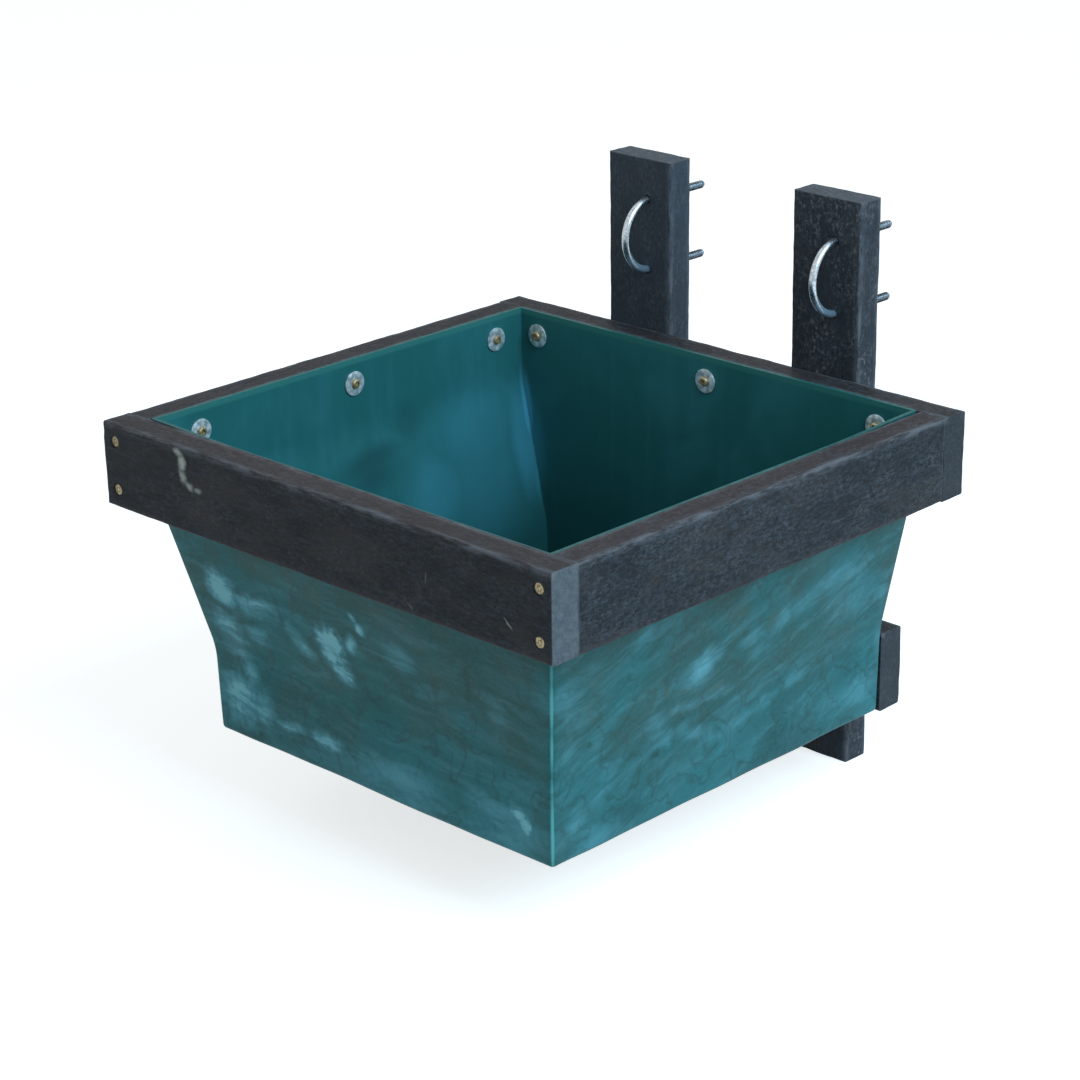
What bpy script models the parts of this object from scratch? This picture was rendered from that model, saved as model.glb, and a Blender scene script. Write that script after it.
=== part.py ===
# Feeding trough: a moulded plastic tub in a frame of four recycled plastic boards, hung on a
# fence rail by two posts with U-bolts. Metres, +Z up, +X to the right along the front board,
# +Y to the back. The origin lies where the rail bears on the posts: in the plane of their front
# faces, midway between the two sides and at the height of the U-bolts' centres.

from math import cos, pi, sin

import bmesh
import bpy
from mathutils import Vector

# Board stock, the same section for every board and post
board_height = 0.080
board_thickness = 0.030
board_edge_radius = 0.004

# Frame
frame_width = 0.560
frame_depth = 0.540

# Tub
tub_depth = 0.305
tub_wall = 0.004
tub_rim_rise = 0.001
tub_corner_radius = 0.006
tub_band_depth = 0.074
tub_slope_depth = 0.148
tub_slope_inset = 0.034
tub_foot_taper = 0.002
tub_knee_blend = 0.012

# Hanger posts and the cross board that ties them below
post_length = 0.560
post_rise = 0.170
post_spacing = 0.232
cross_board_length = 0.434
cross_board_below_tub = 0.002

# U-bolts, their nuts and washers, M8
rod_radius = 0.004
leg_spacing = 0.070
leg_length = 0.078
leg_end_chamfer = 0.0008
bow_seat_depth = 0.004
u_bolt_height = 0.095
u_bolt_side_offset = 0.010
nut_across_flats = 0.013
nut_height = 0.0065
nut_washer_radius = 0.008
nut_washer_thickness = 0.0016

# Countersunk screws that hold the boards together
board_screw_head_radius = 0.005
board_screw_head_height = 0.003
board_screw_shank_radius = 0.0025
board_screw_tip = 0.004
board_screw_sink = 0.0004
corner_screw_length = 0.060
corner_screw_edge = 0.017
post_screw_length = 0.050
post_screw_spread = 0.036

# Pan head screws and wide washers that hold the tub in the frame
tub_screw_head_radius = 0.0047
tub_screw_head_height = 0.0028
tub_screw_shank_radius = 0.0023
tub_screw_tip = 0.003
tub_screw_length = 0.024
tub_screw_drop = 0.0235
tub_washer_radius = 0.012
tub_washer_thickness = 0.0015

# Drive recess, the same bit for every screw
recess_radius = 0.0019
recess_depth = 0.0014

# Clearances
contact_gap = 0.0003
thread_clearance = 0.0003
u_bolt_hole_clearance = 0.001
cut_overrun = 0.002

# Places of the tub screws along each wall, as shares of the opening measured from its middle
front_wall_screw_shares = (-0.41, 0.0, 0.41)
back_wall_screw_shares = (-0.444, 0.002, 0.414)
left_wall_screw_shares = (-0.388, 0.011, 0.413)
right_wall_screw_shares = (-0.40, 0.0, 0.40)

# Shape of a pan head: height share at its rim and radius share of its flat top
pan_rim_height_share = 0.45
pan_top_radius_share = 0.62

# Sides of the round pieces and steps of the rounded edges
screw_sides = 12
washer_sides = 24
rod_sides = 12
rod_hole_sides = 16
bow_steps = 16
edge_steps = 3
corner_steps = 3

# Places worked out from the sizes above
rim_z = -u_bolt_height
frame_middle_y = -contact_gap - frame_depth / 2
front_board_y = frame_middle_y - frame_depth / 2 + board_thickness / 2
back_board_y = frame_middle_y + frame_depth / 2 - board_thickness / 2
side_board_x = frame_width / 2 - board_thickness / 2
board_middle_z = rim_z - board_height / 2
side_board_length = frame_depth - 2 * board_thickness - 2 * contact_gap
opening_width = frame_width - 2 * board_thickness
opening_depth = frame_depth - 2 * board_thickness
tub_width = opening_width - 2 * contact_gap
tub_length = opening_depth - 2 * contact_gap
tub_top_z = rim_z + tub_rim_rise
post_y = board_thickness / 2
post_back_y = board_thickness
post_middle_z = rim_z + post_rise - post_length / 2
cross_board_z = rim_z - tub_depth - cross_board_below_tub + board_height / 2
bow_radius = leg_spacing / 2

UP = Vector((0, 0, 1))
RIGHT = Vector((1, 0, 0))
BACK = Vector((0, 1, 0))


def clear_scene():
    for old in list(bpy.data.objects):
        bpy.data.objects.remove(old, do_unlink=True)


def new_collection(name, parent):
    collection = bpy.data.collections.new(name)
    parent.children.link(collection)
    return collection


def material(name, color, roughness, metallic):
    mat = bpy.data.materials.new(name)
    mat.use_nodes = True
    shader = mat.node_tree.nodes["Principled BSDF"]
    shader.inputs["Base Color"].default_value = (*color, 1)
    shader.inputs["Roughness"].default_value = roughness
    shader.inputs["Metallic"].default_value = metallic
    return mat


def add_object(name, data, collection, mat=None):
    obj = bpy.data.objects.new(name, data)
    collection.objects.link(obj)
    if mat:
        data.materials.append(mat)
    return obj


def mesh_from(bm, name):
    mesh = bpy.data.meshes.new(name)
    bm.to_mesh(mesh)
    bm.free()
    return mesh


def aim(obj, direction):
    obj.rotation_mode = "QUATERNION"
    obj.rotation_quaternion = direction.to_track_quat("Z", "Y")


# A board lies along X, with its thickness along Y and its height along Z. Its long edges are
# rounded and its ends are cut square.
def board(name, length, location, mat, rotation=(0, 0, 0)):
    bm = bmesh.new()
    bmesh.ops.create_cube(bm, size=1)
    bmesh.ops.scale(bm, vec=(length, board_thickness, board_height), verts=bm.verts)
    long_edges = [edge for edge in bm.edges if abs((edge.verts[1].co - edge.verts[0].co).x) > length / 2]
    bmesh.ops.bevel(bm, geom=long_edges, offset=board_edge_radius, offset_type="OFFSET",
                    segments=edge_steps, profile=0.5, affect="EDGES", clamp_overlap=True)
    obj = add_object(name, mesh_from(bm, name), trough, mat)
    obj.location = location
    obj.rotation_euler = rotation
    return obj


# A turned piece: its outline in the XZ plane runs down the outer side and is spun about Z.
def turned(name, outline, sides, collection, mat=None, closed=False):
    mesh = bpy.data.meshes.new(name)
    edges = [(i, i + 1) for i in range(len(outline) - 1)]
    if closed:
        edges.append((len(outline) - 1, 0))
    mesh.from_pydata([(radius, 0, height) for radius, height in outline], edges, [])
    obj = add_object(name, mesh, collection, mat)
    spin = obj.modifiers.new("Spin", "SCREW")
    spin.axis = "Z"
    spin.angle = 2 * pi
    spin.steps = sides
    spin.render_steps = sides
    spin.use_merge_vertices = True
    spin.merge_threshold = 0.00001
    spin.use_smooth_shade = False
    return obj


def ring(name, inner_radius, outer_radius, thickness, location, direction):
    outline = [(inner_radius, thickness), (outer_radius, thickness), (outer_radius, 0), (inner_radius, 0)]
    obj = turned(name, outline, washer_sides, trough, bright_zinc, closed=True)
    obj.location = location
    aim(obj, direction)
    return obj


# A cutter is shared by every piece that its hole runs through.
def add_cutter(obj, hosts, location, direction):
    obj.location = location
    aim(obj, direction)
    obj.hide_render = True
    obj.display_type = "WIRE"
    for host in hosts:
        host_cutters[host.name].objects.link(obj)


def cylinder_cutter(name, radius, top, bottom, sides, hosts, location, direction):
    outline = [(0, top), (radius, top), (radius, bottom), (0, bottom)]
    add_cutter(turned(name, outline, sides, cutters), hosts, location, direction)


# A countersunk screw, its origin in the middle of its head's flat top, driven against direction.
def board_screw(name, length, face_point, direction, hosts):
    location = face_point - direction * board_screw_sink
    outline = [
        (0, -recess_depth), (recess_radius, -recess_depth), (recess_radius, 0),
        (board_screw_head_radius, 0), (board_screw_shank_radius, -board_screw_head_height),
        (board_screw_shank_radius, board_screw_tip - length), (0, -length),
    ]
    obj = turned(name, outline, screw_sides, trough, yellow_zinc)
    obj.location = location
    aim(obj, direction)
    head_hole = board_screw_head_radius + contact_gap
    shank_hole = board_screw_shank_radius + contact_gap
    hole = [
        (0, cut_overrun), (head_hole, cut_overrun), (head_hole, -contact_gap),
        (shank_hole, -board_screw_head_height - contact_gap),
        (shank_hole, -length - contact_gap), (0, -length - contact_gap),
    ]
    add_cutter(turned(name + "_hole", hole, screw_sides, cutters), hosts, location, direction)
    return obj


# A pan head screw with its wide washer, on the tub's inner wall at wall_point. Direction points
# into the tub.
def tub_screw(name, wall_point, direction, hosts):
    washer_point = wall_point + direction * contact_gap
    ring(name + "_washer", tub_screw_shank_radius + contact_gap, tub_washer_radius,
         tub_washer_thickness, washer_point, direction)
    head_point = washer_point + direction * (tub_washer_thickness + contact_gap)
    rim_height = tub_screw_head_height * pan_rim_height_share
    top_radius = tub_screw_head_radius * pan_top_radius_share
    floor_height = tub_screw_head_height - recess_depth
    outline = [
        (0, floor_height), (recess_radius, floor_height), (recess_radius, tub_screw_head_height),
        (top_radius, tub_screw_head_height), (tub_screw_head_radius, rim_height),
        (tub_screw_head_radius, 0), (tub_screw_shank_radius, 0),
        (tub_screw_shank_radius, tub_screw_tip - tub_screw_length), (0, -tub_screw_length),
    ]
    obj = turned(name, outline, screw_sides, trough, yellow_zinc)
    obj.location = head_point
    aim(obj, direction)
    cylinder_cutter(name + "_hole", tub_screw_shank_radius + contact_gap, 0,
                    -tub_screw_length - contact_gap, screw_sides, hosts, head_point, direction)


# How far the front and side walls stand in from the frame's opening at a depth below the rim:
# a ramp between two knees, each rounded over the blend length, and a slight taper below.
def knee(distance):
    if distance <= -tub_knee_blend:
        return 0
    if distance >= tub_knee_blend:
        return distance
    return (distance + tub_knee_blend) ** 2 / (4 * tub_knee_blend)


def wall_inset(depth):
    slope_end = tub_band_depth + tub_slope_depth
    ramp = (knee(depth - tub_band_depth) - knee(depth - slope_end)) / tub_slope_depth
    foot = max(0, depth - slope_end) / (tub_depth - slope_end)
    return tub_slope_inset * ramp + tub_foot_taper * foot


def tub_levels():
    levels = []
    for middle in (tub_band_depth, tub_band_depth + tub_slope_depth):
        levels += [middle + tub_knee_blend * step for step in (-1, -1 / 3, 1 / 3, 1)]
    return levels


# The tub starts as an open box. It is sliced at the levels where its walls bend, the front and
# side walls are drawn in, its corners and floor edge are rounded, and the sheet is thickened.
def make_tub():
    bm = bmesh.new()
    bmesh.ops.create_cube(bm, size=1)
    bmesh.ops.scale(bm, vec=(tub_width, tub_length, tub_depth + tub_rim_rise), verts=bm.verts)
    bmesh.ops.translate(bm, vec=(0, 0, -(tub_depth + tub_rim_rise) / 2), verts=bm.verts)
    lid = [face for face in bm.faces if face.normal.z > 0.5]
    bmesh.ops.delete(bm, geom=lid, context="FACES_ONLY")
    for depth in tub_levels():
        everything = bm.verts[:] + bm.edges[:] + bm.faces[:]
        bmesh.ops.bisect_plane(bm, geom=everything, plane_co=(0, 0, -tub_rim_rise - depth), plane_no=UP)
    for vert in bm.verts:
        inset = wall_inset(-vert.co.z - tub_rim_rise)
        vert.co.x -= inset if vert.co.x > 0 else -inset
        if vert.co.y < 0:
            vert.co.y += inset
    bottom = min(vert.co.z for vert in bm.verts)
    rounded = []
    for edge in bm.edges:
        start, end = (vert.co for vert in edge.verts)
        upright = abs(start.z - end.z) > tub_corner_radius / 2
        at_floor = abs(start.z - bottom) + abs(end.z - bottom) < tub_corner_radius / 2
        if upright or at_floor:
            rounded.append(edge)
    bmesh.ops.bevel(bm, geom=rounded, offset=tub_corner_radius, offset_type="OFFSET",
                    segments=corner_steps, profile=0.5, affect="EDGES", clamp_overlap=False)
    obj = add_object("tub", mesh_from(bm, "tub"), trough, tub_plastic)
    obj.location = (0, frame_middle_y, tub_top_z)
    shell = obj.modifiers.new("Wall", "SOLIDIFY")
    shell.thickness = tub_wall
    shell.offset = -1
    shell.use_even_offset = True
    return obj


# A U-bolt, its origin on the post's front face: two legs along +Y joined by a half round bow
# that faces the front.
def u_bolt(name, location, hosts):
    leg_end = bow_seat_depth + leg_length
    points = [(leg_end, bow_radius, True), (leg_end - leg_end_chamfer, bow_radius, False)]
    for step in range(bow_steps + 1):
        angle = pi / 2 + pi * step / bow_steps
        points.append((bow_seat_depth + bow_radius * cos(angle), bow_radius * sin(angle), False))
    points += [(leg_end - leg_end_chamfer, -bow_radius, False), (leg_end, -bow_radius, True)]
    curve = bpy.data.curves.new(name, "CURVE")
    curve.dimensions = "3D"
    curve.bevel_depth = rod_radius
    curve.bevel_resolution = (rod_sides - 4) // 2
    curve.use_fill_caps = True
    spline = curve.splines.new("POLY")
    spline.points.add(len(points) - 1)
    for point, (y, z, is_end) in zip(spline.points, points):
        point.co = (0, y, z, 1)
        point.radius = 1 - leg_end_chamfer / rod_radius if is_end else 1
    obj = add_object(name, curve, trough, bright_zinc)
    obj.location = location
    for place, side in (("upper", 1), ("lower", -1)):
        leg = location + UP * side * bow_radius
        cylinder_cutter(f"{name}_{place}_hole", rod_radius + u_bolt_hole_clearance,
                        board_thickness + cut_overrun, -cut_overrun, rod_hole_sides, hosts, leg, BACK)
    return obj


# A hexagonal nut with a plain bore, its origin on the leg's axis and its back face at location.
def nut(name, location):
    bm = bmesh.new()
    corner_radius = nut_across_flats / 2 / cos(pi / 6)
    bmesh.ops.create_cone(bm, cap_ends=True, segments=6, radius1=corner_radius, radius2=corner_radius,
                          depth=nut_height)
    bmesh.ops.translate(bm, vec=(0, 0, nut_height / 2), verts=bm.verts)
    obj = add_object(name, mesh_from(bm, name), trough, bright_zinc)
    obj.location = location
    aim(obj, BACK)
    host_cutters[name] = new_collection(name + "_cutters", cutters)
    cylinder_cutter(name + "_bore", rod_radius + thread_clearance, nut_height + cut_overrun, -cut_overrun,
                    rod_hole_sides, [obj], location, BACK)
    return obj


def cut_holes(host):
    cut = host.modifiers.new("Holes", "BOOLEAN")
    cut.operation = "DIFFERENCE"
    cut.operand_type = "COLLECTION"
    cut.solver = "EXACT"
    cut.collection = host_cutters[host.name]


clear_scene()
trough = new_collection("feeding_trough", bpy.context.scene.collection)
cutters = new_collection("cutters", bpy.context.scene.collection)
host_cutters = {}

recycled_plastic = material("recycled_plastic", (0.028, 0.029, 0.032), 0.62, 0)
tub_plastic = material("tub_plastic", (0.035, 0.16, 0.17), 0.38, 0)
bright_zinc = material("bright_zinc", (0.62, 0.65, 0.68), 0.30, 1)
yellow_zinc = material("yellow_zinc", (0.62, 0.47, 0.22), 0.35, 1)

# Boards, posts and tub
front_board = board("front_board", frame_width, (0, front_board_y, board_middle_z), recycled_plastic)
back_board = board("back_board", frame_width, (0, back_board_y, board_middle_z), recycled_plastic)
left_side_board = board("left_side_board", side_board_length, (-side_board_x, frame_middle_y, board_middle_z),
                        recycled_plastic, (0, 0, pi / 2))
right_side_board = board("right_side_board", side_board_length, (side_board_x, frame_middle_y, board_middle_z),
                         recycled_plastic, (0, 0, -pi / 2))
left_post = board("left_hanger_post", post_length, (-post_spacing / 2, post_y, post_middle_z),
                  recycled_plastic, (0, pi / 2, 0))
right_post = board("right_hanger_post", post_length, (post_spacing / 2, post_y, post_middle_z),
                   recycled_plastic, (0, pi / 2, 0))
cross_board = board("lower_cross_board", cross_board_length, (0, back_board_y, cross_board_z),
                    recycled_plastic)
tub = make_tub()
bored_pieces = [front_board, back_board, left_side_board, right_side_board, left_post, right_post,
                cross_board, tub]
for piece in bored_pieces:
    host_cutters[piece.name] = new_collection(piece.name + "_cutters", cutters)

# Two screws at each frame corner, through the front or back board into a side board's end
for end, end_board, direction in (("front", front_board, -BACK), ("back", back_board, BACK)):
    for hand, side_board, side in (("left", left_side_board, -1), ("right", right_side_board, 1)):
        for place, height in (("upper", rim_z - corner_screw_edge),
                              ("lower", rim_z - board_height + corner_screw_edge)):
            face = Vector((side * side_board_x, frame_middle_y, height)) + direction * frame_depth / 2
            board_screw(f"{end}_{hand}_{place}_corner_screw", corner_screw_length, face, direction,
                        [end_board, side_board])

# Two screws where each post crosses the back board and the cross board, driven from behind
for hand, post, side in (("left", left_post, -1), ("right", right_post, 1)):
    for level, crossed, height in (("rim", back_board, board_middle_z), ("foot", cross_board, cross_board_z)):
        for place, lift in (("upper", 1), ("lower", -1)):
            face = Vector((side * (post_spacing / 2 + lift * post_screw_spread / 2), post_back_y,
                           height + lift * post_screw_spread / 2))
            board_screw(f"{hand}_post_{level}_{place}_screw", post_screw_length, face, BACK, [post, crossed])

# Three screws with wide washers through each wall of the tub
tub_inner_x = tub_width / 2 - tub_wall
tub_inner_y = tub_length / 2 - tub_wall
tub_screw_z = rim_z - tub_screw_drop
for wall, wall_board, normal, along, reach, span, shares in (
    ("front", front_board, BACK, RIGHT, tub_inner_y, opening_width, front_wall_screw_shares),
    ("back", back_board, -BACK, RIGHT, tub_inner_y, opening_width, back_wall_screw_shares),
    ("left", left_side_board, RIGHT, BACK, tub_inner_x, opening_depth, left_wall_screw_shares),
    ("right", right_side_board, -RIGHT, BACK, tub_inner_x, opening_depth, right_wall_screw_shares),
):
    middle = Vector((0, frame_middle_y, tub_screw_z)) - normal * reach
    for number, share in enumerate(shares, 1):
        tub_screw(f"{wall}_wall_screw_{number}", middle + along * share * span, normal, [tub, wall_board])

# A U-bolt on each post, with a washer and a nut on each leg behind the post
for hand, post, side in (("left", left_post, -1), ("right", right_post, 1)):
    place_x = side * post_spacing / 2 + u_bolt_side_offset
    u_bolt(f"{hand}_u_bolt", Vector((place_x, 0, 0)), [post])
    for place, height in (("upper", bow_radius), ("lower", -bow_radius)):
        washer_point = Vector((place_x, post_back_y + contact_gap, height))
        ring(f"{hand}_{place}_u_bolt_washer", rod_radius + thread_clearance, nut_washer_radius,
             nut_washer_thickness, washer_point, BACK)
        nut_point = washer_point + BACK * (nut_washer_thickness + contact_gap)
        cut_holes(nut(f"{hand}_{place}_nut", nut_point))

for piece in bored_pieces:
    cut_holes(piece)
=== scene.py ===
import math

import bmesh
import bpy
from mathutils import Matrix, Vector


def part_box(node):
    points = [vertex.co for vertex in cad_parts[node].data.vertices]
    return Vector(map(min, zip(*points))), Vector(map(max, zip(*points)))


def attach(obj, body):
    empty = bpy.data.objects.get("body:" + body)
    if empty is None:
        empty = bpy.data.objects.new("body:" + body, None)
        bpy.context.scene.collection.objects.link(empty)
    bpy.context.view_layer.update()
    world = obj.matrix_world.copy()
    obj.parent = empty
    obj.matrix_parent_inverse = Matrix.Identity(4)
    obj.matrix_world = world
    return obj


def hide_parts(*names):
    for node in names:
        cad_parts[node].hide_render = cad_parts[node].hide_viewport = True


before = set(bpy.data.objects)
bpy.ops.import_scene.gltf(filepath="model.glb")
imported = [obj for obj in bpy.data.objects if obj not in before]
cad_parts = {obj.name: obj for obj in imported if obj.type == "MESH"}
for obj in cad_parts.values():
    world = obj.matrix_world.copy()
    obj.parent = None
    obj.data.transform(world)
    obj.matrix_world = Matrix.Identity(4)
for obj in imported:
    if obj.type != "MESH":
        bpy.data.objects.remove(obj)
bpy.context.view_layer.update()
print("frame loaded")

back = Vector((0, 1, 0))
right = Vector((1, 0, 0))


# Edit-mode helpers

def deselectAll():
    bpy.ops.object.select_all(action="DESELECT")


def makeActive(obj):
    deselectAll()
    obj.select_set(True)
    bpy.context.view_layer.objects.active = obj


def nameActive(name):
    obj = bpy.context.active_object
    obj.name = name
    obj.data.name = name
    return obj


def applyPlace(obj):
    makeActive(obj)
    bpy.ops.object.transform_apply(location=True, rotation=True, scale=True)


def enterEdit(obj, mode="FACE"):
    makeActive(obj)
    bpy.ops.object.mode_set(mode="EDIT")
    bpy.ops.mesh.select_mode(type=mode)
    bpy.ops.mesh.select_all(action="DESELECT")


def leaveEdit():
    bpy.ops.object.mode_set(mode="OBJECT")


def selectWhere(obj, kind, test):  # kind is verts, edges or faces
    bm = bmesh.from_edit_mesh(obj.data)
    for part in getattr(bm, kind):
        if test(part):
            part.select_set(True)
    bm.select_flush_mode()
    bmesh.update_edit_mesh(obj.data)


def edgeMiddle(edge):
    return (edge.verts[0].co + edge.verts[1].co) / 2


def edgeRun(edge):
    return edge.verts[1].co - edge.verts[0].co


def applyModifier(obj, kind, **settings):
    makeActive(obj)
    modifier = obj.modifiers.new(kind.title(), kind)
    for key, value in settings.items():
        setattr(modifier, key, value)
    bpy.ops.object.modifier_apply(modifier=modifier.name)


def cutWith(obj, cutter, operation="DIFFERENCE"):
    applyModifier(obj, "BOOLEAN", operation=operation, object=cutter, solver="EXACT")
    bpy.data.objects.remove(cutter, do_unlink=True)


def cleanNormals(obj):
    enterEdit(obj)
    bpy.ops.mesh.select_all(action="SELECT")
    bpy.ops.mesh.remove_doubles(threshold=0.00001)
    bpy.ops.mesh.normals_make_consistent(inside=False)
    leaveEdit()


def smoothByAngle(obj, degrees=35):
    makeActive(obj)
    bpy.ops.object.shade_smooth_by_angle(angle=math.radians(degrees))


def placedCopy(master, name, location, direction=None, turn=0.0):  # each copy has its own mesh
    mesh = master.data.copy()
    mesh.name = name
    obj = bpy.data.objects.new(name, mesh)
    bpy.context.scene.collection.objects.link(obj)
    if direction:
        mesh.transform(direction.to_track_quat("Z", "Y").to_matrix().to_4x4() @ Matrix.Rotation(turn, 4, "Z"))
    mesh.transform(Matrix.Translation(location))
    return obj


def finishPiece(obj, body, node, slot, *materials):
    for material in materials:
        obj.data.materials.append(material)
    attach(obj, body)
    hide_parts(node)


def boxMiddle(node):
    low, high = (Vector(corner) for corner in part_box(node))
    return (low + high) / 2


def boxSize(node):
    low, high = (Vector(corner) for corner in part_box(node))
    return high - low


# Shader helpers

def addNode(tree, kind, inputs=None, **settings):
    node = tree.nodes.new(kind)
    for key, value in settings.items():
        setattr(node, key, value)
    for key, value in (inputs or {}).items():
        if isinstance(value, bpy.types.NodeSocket):
            tree.links.new(value, node.inputs[key])
        else:
            node.inputs[key].default_value = value
    return node


def addMath(tree, operation, first, second=0.0):
    return addNode(tree, "ShaderNodeMath", {0: first, 1: second}, operation=operation).outputs[0]


def addVector(tree, operation, first, second=(0, 0, 0)):
    return addNode(tree, "ShaderNodeVectorMath", {0: first, 1: second}, operation=operation).outputs[0]


def addRange(tree, value, low, high, toLow=0.0, toHigh=1.0):  # a smooth step, which needs no clamp
    inputs = {"Value": value, "From Min": low, "From Max": high, "To Min": toLow, "To Max": toHigh}
    return addNode(tree, "ShaderNodeMapRange", inputs, interpolation_type="SMOOTHSTEP", clamp=False).outputs["Result"]


def addMix(tree, factor, first, second, blend="MIX"):
    node = tree.nodes.new("ShaderNodeMix")
    node.data_type = "RGBA"
    node.blend_type = blend
    for index, value in ((0, factor), (6, first), (7, second)):
        if isinstance(value, bpy.types.NodeSocket):
            tree.links.new(value, node.inputs[index])
        else:
            node.inputs[index].default_value = value
    return node.outputs[2]


def addNoise(tree, vector, scale, detail=3.0, roughness=0.55, distortion=0.0):
    inputs = {"Vector": vector, "Scale": scale, "Detail": detail, "Roughness": roughness, "Distortion": distortion}
    return addNode(tree, "ShaderNodeTexNoise", inputs).outputs["Fac"]


def newGroup(name, **inputs):  # inputs are name=kind pairs, where a kind is Vector or Float
    group = bpy.data.node_groups.new(name, "ShaderNodeTree")
    for label, kind in inputs.items():
        group.interface.new_socket(name=label, in_out="INPUT", socket_type="NodeSocket" + kind)
    return group, group.nodes.new("NodeGroupInput").outputs


def closeGroup(group, **results):
    for label, socket in results.items():
        kind = "NodeSocketVector" if socket.type == "VECTOR" else "NodeSocketFloat"
        group.interface.new_socket(name=label, in_out="OUTPUT", socket_type=kind)
    sink = group.nodes.new("NodeGroupOutput")
    for label, socket in results.items():
        group.links.new(socket, sink.inputs[label])
    return group


def useGroup(tree, group, **inputs):
    node = tree.nodes.new("ShaderNodeGroup")
    node.node_tree = group
    for key, value in inputs.items():
        if isinstance(value, bpy.types.NodeSocket):
            tree.links.new(value, node.inputs[key])
        else:
            node.inputs[key].default_value = value
    return node.outputs


def newMaterial(name, roughness=0.5, metallic=0.0, specular=0.5):
    material = bpy.data.materials.new(name)
    material.use_nodes = True
    tree = material.node_tree
    shader = tree.nodes["Principled BSDF"]
    shader.inputs["Roughness"].default_value = roughness
    shader.inputs["Metallic"].default_value = metallic
    shader.inputs["Specular IOR Level"].default_value = specular
    coords = tree.nodes.new("ShaderNodeTexCoord").outputs["Object"]
    return material, tree, shader, coords


def setBump(tree, shader, height, strength, distance):
    bump = addNode(tree, "ShaderNodeBump", {"Height": height, "Strength": strength, "Distance": distance})
    tree.links.new(bump.outputs["Normal"], shader.inputs["Normal"])


# Shared effects

def makeEdgeWear():  # which points lie near a board's long edges, on its top face and on its sawn ends
    group, given = newGroup("edgeWear", Place="Vector", HalfSize="Vector", Width="Float")
    depth = addVector(group, "SUBTRACT", given["HalfSize"], addVector(group, "ABSOLUTE", given["Place"]))
    sides = addNode(group, "ShaderNodeSeparateXYZ", {0: depth}).outputs
    height = addNode(group, "ShaderNodeSeparateXYZ", {0: given["Place"]}).outputs["Z"]
    stretched = addVector(group, "MULTIPLY", given["Place"], (30, 200, 200))
    patchy = addRange(group, addNoise(group, stretched, 1.0, 5, 0.7), 0.40, 0.62, 0.05, 1.0)
    longEdge = addMath(group, "MAXIMUM", sides["Y"], sides["Z"])
    # the long-edge mask carries both real wear and a painted highlight
    wearAndHighlight = addRange(group, addMath(group, "DIVIDE", longEdge, given["Width"]), 0.0, 1.0, 1.0, 0.0)
    upper = addRange(group, height, -0.012, 0.012)
    top = addMath(group, "MULTIPLY", addRange(group, sides["Z"], 0.0008, 0.0030, 1.0, 0.0), upper)
    end = addRange(group, sides["X"], 0.0008, 0.0014, 1.0, 0.0)
    return closeGroup(group, Wear=addMath(group, "MULTIPLY", wearAndHighlight, patchy), Upper=upper, Top=top, End=end)


def makeBoardGrain():  # streaks, mottling and pale frosting of boards moulded from mixed waste plastic
    group, given = newGroup("boardGrain", Place="Vector", Seed="Vector")
    place = addVector(group, "ADD", given["Place"], given["Seed"])
    streaks = addNoise(group, addVector(group, "MULTIPLY", place, (60, 420, 420)), 1.0, 5, 0.65, 0.4)
    blotches = addNoise(group, addVector(group, "MULTIPLY", place, (13, 30, 30)), 1.0, 4, 0.6, 0.6)
    mottle = addNoise(group, addVector(group, "MULTIPLY", place, (120, 190, 190)), 1.0, 5, 0.7, 0.6)
    fine = addNoise(group, addVector(group, "MULTIPLY", place, (150, 340, 340)), 1.0, 6, 0.80)
    crowding = addRange(group, addNoise(group, addVector(group, "MULTIPLY", place, (22, 44, 44)), 1.0, 4, 0.65), 0.36, 0.64)
    spread = addMath(group, "ADD", addMath(group, "MULTIPLY", crowding, 0.7), 0.3)
    frost = addMath(group, "MULTIPLY", addRange(group, fine, 0.43, 0.66), spread)
    flakes = addNoise(group, addVector(group, "MULTIPLY", place, (250, 290, 290)), 1.0, 4, 0.65)
    specks = addMath(group, "MULTIPLY", addRange(group, flakes, 0.52, 0.66), crowding)
    rough = addMath(group, "ADD", addMath(group, "MULTIPLY", streaks, 0.4), addMath(group, "MULTIPLY", mottle, 0.6))
    height = addMath(group, "ADD", rough, addMath(group, "MULTIPLY", frost, 0.25))
    return closeGroup(group, Streaks=streaks, Blotches=blotches, Mottle=mottle, Frost=frost, Specks=specks, Height=height)


def makeDrift():  # bends a surface's places gently, and puts out how far a mark's edge is worn away there
    group, given = newGroup("driftingPlace", Place="Vector", Scale="Float", Reach="Float")
    drift = addNode(group, "ShaderNodeTexNoise",
                    {"Vector": given["Place"], "Scale": given["Scale"], "Detail": 4, "Roughness": 0.6}).outputs["Color"]
    drift = addVector(group, "SUBTRACT", drift, (0.5, 0.5, 0.5))
    drift = addNode(group, "ShaderNodeVectorMath", {0: drift, "Scale": given["Reach"]}, operation="SCALE").outputs[0]
    ragged = addNoise(group, given["Place"], addMath(group, "MULTIPLY", given["Scale"], 5.0), 4, 0.6)
    return closeGroup(group, Place=addVector(group, "ADD", given["Place"], drift),
                      Worn=addRange(group, ragged, 0.3, 0.7, 0.0, 0.22))


def makeStroke():  # a soft mark that fills the unit ball, which a Mapping node stretches and lays on a surface
    group, given = newGroup("strokeMark", Place="Vector", Worn="Float", Strength="Float")
    ball = addNode(group, "ShaderNodeTexGradient", {"Vector": given["Place"]}, gradient_type="SPHERICAL").outputs["Fac"]
    soft = addRange(group, addMath(group, "SUBTRACT", ball, given["Worn"]), 0.0, 0.80)
    return closeGroup(group, Mask=addMath(group, "MULTIPLY", soft, given["Strength"]))


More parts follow.
